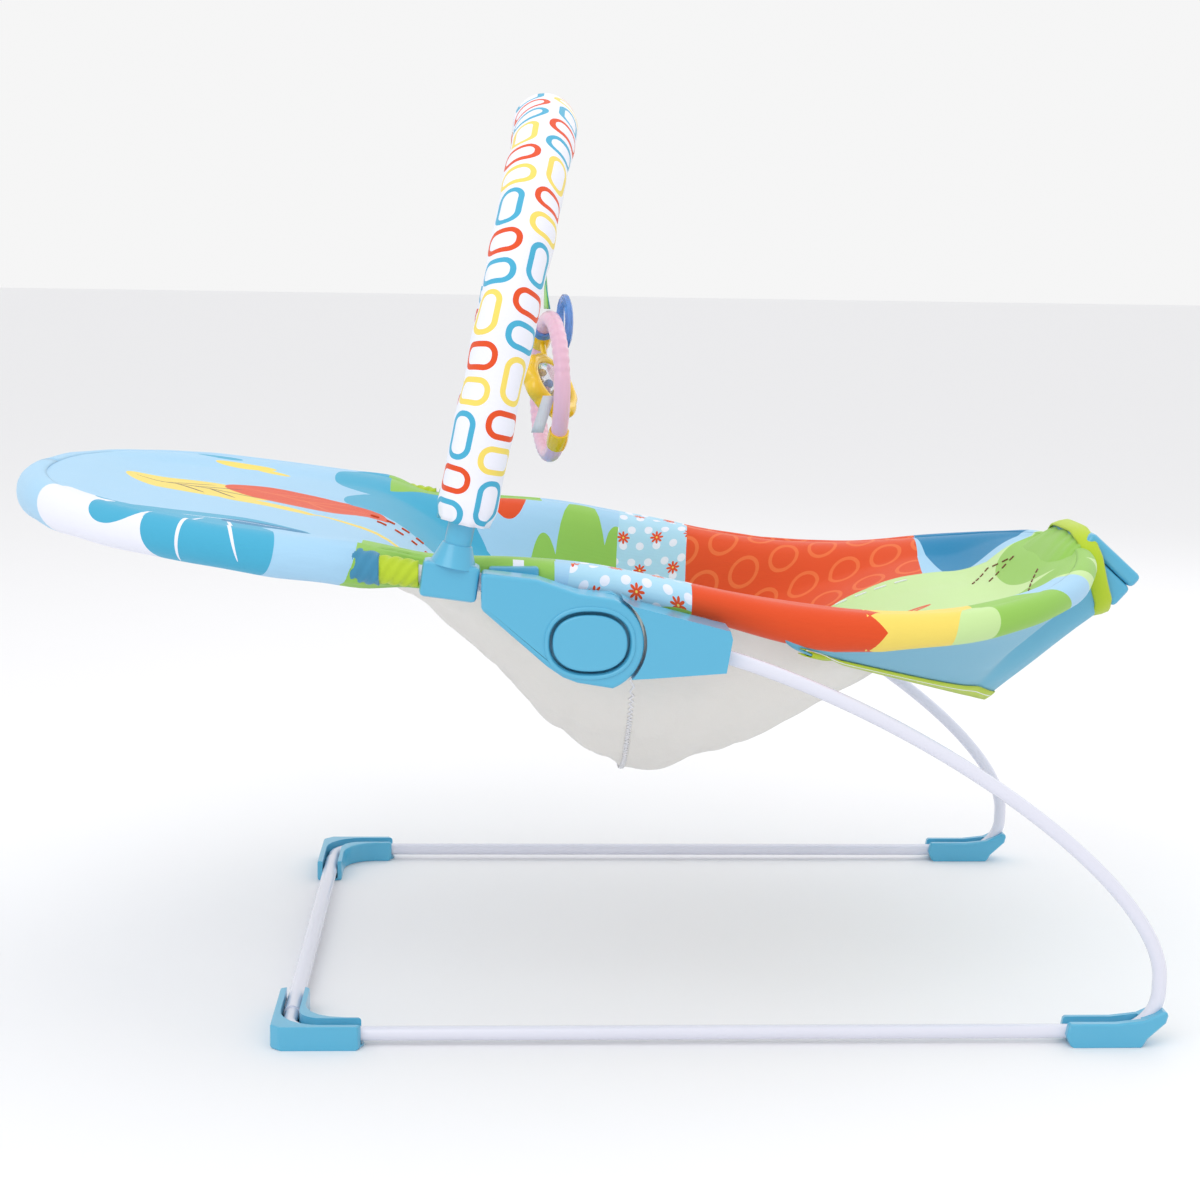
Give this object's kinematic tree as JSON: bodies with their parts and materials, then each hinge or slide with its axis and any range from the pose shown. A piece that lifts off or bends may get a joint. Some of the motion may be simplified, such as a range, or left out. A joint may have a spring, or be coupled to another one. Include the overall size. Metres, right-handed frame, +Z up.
{
  "type": "bouncer seat",
  "caption": "Baby bouncer with a bent tube base, lock hubs, a padded fabric seat with a deep hollow, a toy bar with a hanging ring toy and a vibration unit.",
  "frame": {"origin": "on the floor, under the middle of the object's bounding box", "axes": "+X towards the baby's feet, +Y to the baby's left, +Z up"},
  "size_m": [0.7962, 0.4756, 0.6189],
  "materials": {
    "painted_tube": "white powder coat",
    "blue_plastic": "glossy moulded",
    "steel": "zinc plated",
    "white_plastic": "satin",
    "dark_plastic": "satin",
    "printed_fabric": "printed polyester",
    "green_fabric": "polyester",
    "liner_fabric": "non-woven",
    "skirt_fabric": "polyester",
    "lime_tape": "binding tape",
    "sleeve_fabric": "printed polyester",
    "teal_ribbon": "satin ribbon",
    "pink_plastic": "glossy",
    "toy_blue_plastic": "translucent",
    "yellow_plastic": "glossy",
    "clear_plastic": "clear",
    "webbing": "woven",
    "battery_label": "foil label"
  },
  "bodies": {
    "base": {"side_tube_right": "painted_tube", "side_tube_left": "painted_tube", "rear_crossbar": "painted_tube", "rear_foot_right": "blue_plastic", "rear_foot_left": "blue_plastic", "front_foot_right": "blue_plastic", "front_foot_left": "blue_plastic", "leg_socket_right": "blue_plastic", "leg_socket_left": "blue_plastic"},
    "seat": {"arm_outer_cover_right": "blue_plastic", "arm_outer_cover_left": "blue_plastic", "arm_inner_cover_right": "blue_plastic", "arm_inner_cover_left": "blue_plastic", "pivot_rivet_right": "steel", "pivot_rivet_left": "steel", "arm_screw_right": "steel", "arm_screw_left": "steel", "lock_spring_right": "steel", "lock_spring_left": "steel", "toy_bar_bracket_right": "blue_plastic", "toy_bar_bracket_left": "blue_plastic", "seat_back_tube": "painted_tube", "seat_front_tube": "painted_tube", "head_pad": "printed_fabric", "seat_cover": "printed_fabric", "seat_liner": "liner_fabric", "front_skirt": "skirt_fabric", "skirt_binding": "lime_tape", "crotch_pad": "green_fabric", "waist_strap_right": "webbing", "waist_strap_left": "webbing", "harness_buckle": "dark_plastic", "vibration_top_shell": "blue_plastic", "vibration_bottom_shell": "blue_plastic", "control_panel": "white_plastic", "power_switch": "dark_plastic", "vibration_motor": "steel", "battery_case": "blue_plastic", "battery_lid": "blue_plastic", "battery_cell_1": "battery_label", "battery_cell_2": "battery_label"},
    "release_right": {"push_button_right": "blue_plastic", "lock_gear_right": "white_plastic"},
    "release_left": {"push_button_left": "blue_plastic", "lock_gear_left": "white_plastic"},
    "toy_bar": {"toy_bar_rod": "steel", "toy_bar_sleeve": "sleeve_fabric"},
    "toy": {"toy_ribbon": "teal_ribbon"},
    "toy_ring": {"toy_pink_ring": "pink_plastic", "toy_blue_ring": "toy_blue_plastic"},
    "rattle": {"rattle_rim": "yellow_plastic", "rattle_window_front": "clear_plastic", "rattle_window_back": "clear_plastic", "rattle_bead_1": "pink_plastic", "rattle_bead_2": "toy_blue_plastic", "rattle_bead_3": "yellow_plastic"},
    "power_button": {"power_button": "pink_plastic"},
    "motor_weight": {"motor_weight": "steel"}
  },
  "joints": [
    {"name": "seat_recline", "type": "hinge", "parent": "base", "child": "seat", "pos_m": [-0.0073, 0, 0.2668], "axis": [0, 1, 0], "range_deg": [0, 26]},
    {"name": "release_press_right", "type": "slide", "parent": "seat", "child": "release_right", "axis": [0, 1, 0], "range_m": [0, 0.004], "stiffness_N_per_m": 900, "springref_m": -0.003, "deforming": ["lock_spring_right"]},
    {"name": "release_press_left", "type": "slide", "parent": "seat", "child": "release_left", "axis": [0, -1, 0], "range_m": [0, 0.004], "stiffness_N_per_m": 900, "springref_m": -0.003, "deforming": ["lock_spring_left"]},
    {"name": "toy_bar_lift", "type": "slide", "parent": "seat", "child": "toy_bar", "axis": [0.2079, 0, 0.9781], "range_m": [0, 0.03]},
    {"name": "toy_swing", "type": "hinge", "parent": "toy_bar", "child": "toy", "pos_m": [-0.031, 0, 0.5735], "axis": [0, 1, 0], "range_deg": [-28, 28]},
    {"name": "ring_swing", "type": "hinge", "parent": "toy", "child": "toy_ring", "pos_m": [-0.031, 0, 0.462], "axis": [-0.1564, 0.9877, 0], "range_deg": [-25, 25]},
    {"name": "rattle_spin", "type": "hinge", "parent": "toy_ring", "child": "rattle", "pos_m": [-0.031, 0, 0.4135], "axis": [-0.1106, 0.6984, 0.7071], "continuous": true},
    {"name": "power_press", "type": "slide", "parent": "seat", "child": "power_button", "axis": [-0.6652, 0, -0.7466], "range_m": [0, 0.0015], "stiffness_N_per_m": 400, "springref_m": -0.001},
    {"name": "motor_spin", "type": "hinge", "parent": "seat", "child": "motor_weight", "pos_m": [0.37793, 0, 0.27958], "axis": [0, 1, 0], "continuous": true}
  ]
}
